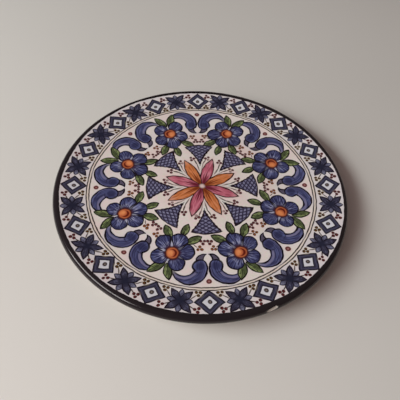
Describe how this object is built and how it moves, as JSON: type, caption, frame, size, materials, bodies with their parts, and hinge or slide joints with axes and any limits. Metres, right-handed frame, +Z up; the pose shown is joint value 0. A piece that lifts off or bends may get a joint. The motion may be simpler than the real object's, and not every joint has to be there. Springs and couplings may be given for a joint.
{
  "type": "wall plate",
  "caption": "Round ceramic wall plate: a shallow dish with a painted flower ornament, a thick rounded black lip, a foot ring and holes for a hanging wire.",
  "frame": {"origin": "middle of the foot ring's resting plane, under the plate's centre", "axes": "+Z up, out of the painted face; +Y towards the picture's top edge, where the hanging holes are; +X to the picture's right"},
  "size_m": [0.24, 0.24, 0.02],
  "materials": {
    "glazed_faience": "gloss"
  },
  "bodies": {
    "root": {"plate": "glazed_faience"}
  },
  "joints": []
}
